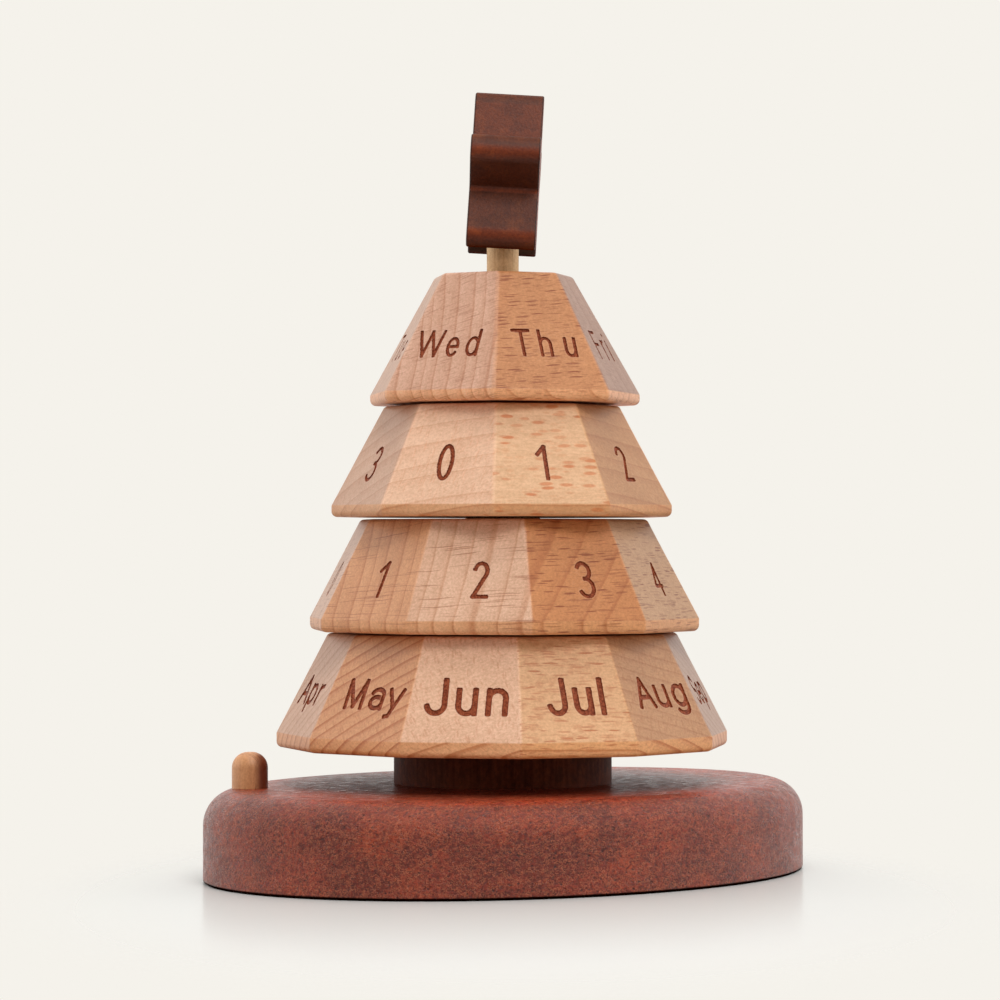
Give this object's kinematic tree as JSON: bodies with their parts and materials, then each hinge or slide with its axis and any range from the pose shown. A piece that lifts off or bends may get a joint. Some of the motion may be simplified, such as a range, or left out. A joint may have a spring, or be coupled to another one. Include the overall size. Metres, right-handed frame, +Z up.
{
  "type": "perpetual desk calendar",
  "caption": "Tiered wooden perpetual calendar: many-sided blocks turn on an upright dowel over an oval base, with a star on top.",
  "frame": {"origin": "centre of the base's underside; the dowel stands 1.8 mm behind it", "axes": "+Z up, parallel to the dowel, +X along the long axis of the oval base, -Y towards the front"},
  "size_m": [0.1256, 0.095, 0.1462],
  "materials": {
    "base_wood": "red-brown stain under a satin coat",
    "trunk_wood": "dark brown stain, matt",
    "dowel_wood": "plain pale dowel, sanded",
    "peg_wood": "sanded, oiled",
    "washer_wood": "plain, unfinished",
    "tier_wood": "sanded beech, lightly oiled, with burnt lettering",
    "star_wood": "dark red-brown stain, satin"
  },
  "bodies": {
    "stand": {"base": "base_wood", "trunk_disc": "trunk_wood", "axle": "dowel_wood", "marker_peg": "peg_wood", "month_washer": "washer_wood", "units_washer": "washer_wood", "tens_washer": "washer_wood", "weekday_washer": "washer_wood"},
    "month_ring": {"month_tier": "tier_wood"},
    "units_ring": {"units_tier": "tier_wood"},
    "tens_ring": {"tens_tier": "tier_wood"},
    "weekday_ring": {"weekday_tier": "tier_wood"},
    "star_cap": {"star": "star_wood"}
  },
  "joints": [
    {"name": "month_spin", "type": "hinge", "parent": "stand", "child": "month_ring", "pos_m": [0, 0.0018, 0.034], "axis": [0, 0, 1], "continuous": true},
    {"name": "units_spin", "type": "hinge", "parent": "stand", "child": "units_ring", "pos_m": [0, 0.0018, 0.056], "axis": [0, 0, 1], "continuous": true},
    {"name": "tens_spin", "type": "hinge", "parent": "stand", "child": "tens_ring", "pos_m": [0, 0.0018, 0.077], "axis": [0, 0, 1], "continuous": true},
    {"name": "weekday_spin", "type": "hinge", "parent": "stand", "child": "weekday_ring", "pos_m": [0, 0.0018, 0.099], "axis": [0, 0, 1], "continuous": true},
    {"name": "star_spin", "type": "hinge", "parent": "stand", "child": "star_cap", "pos_m": [0, 0.0018, 0.126], "axis": [0, 0, 1], "continuous": true}
  ]
}
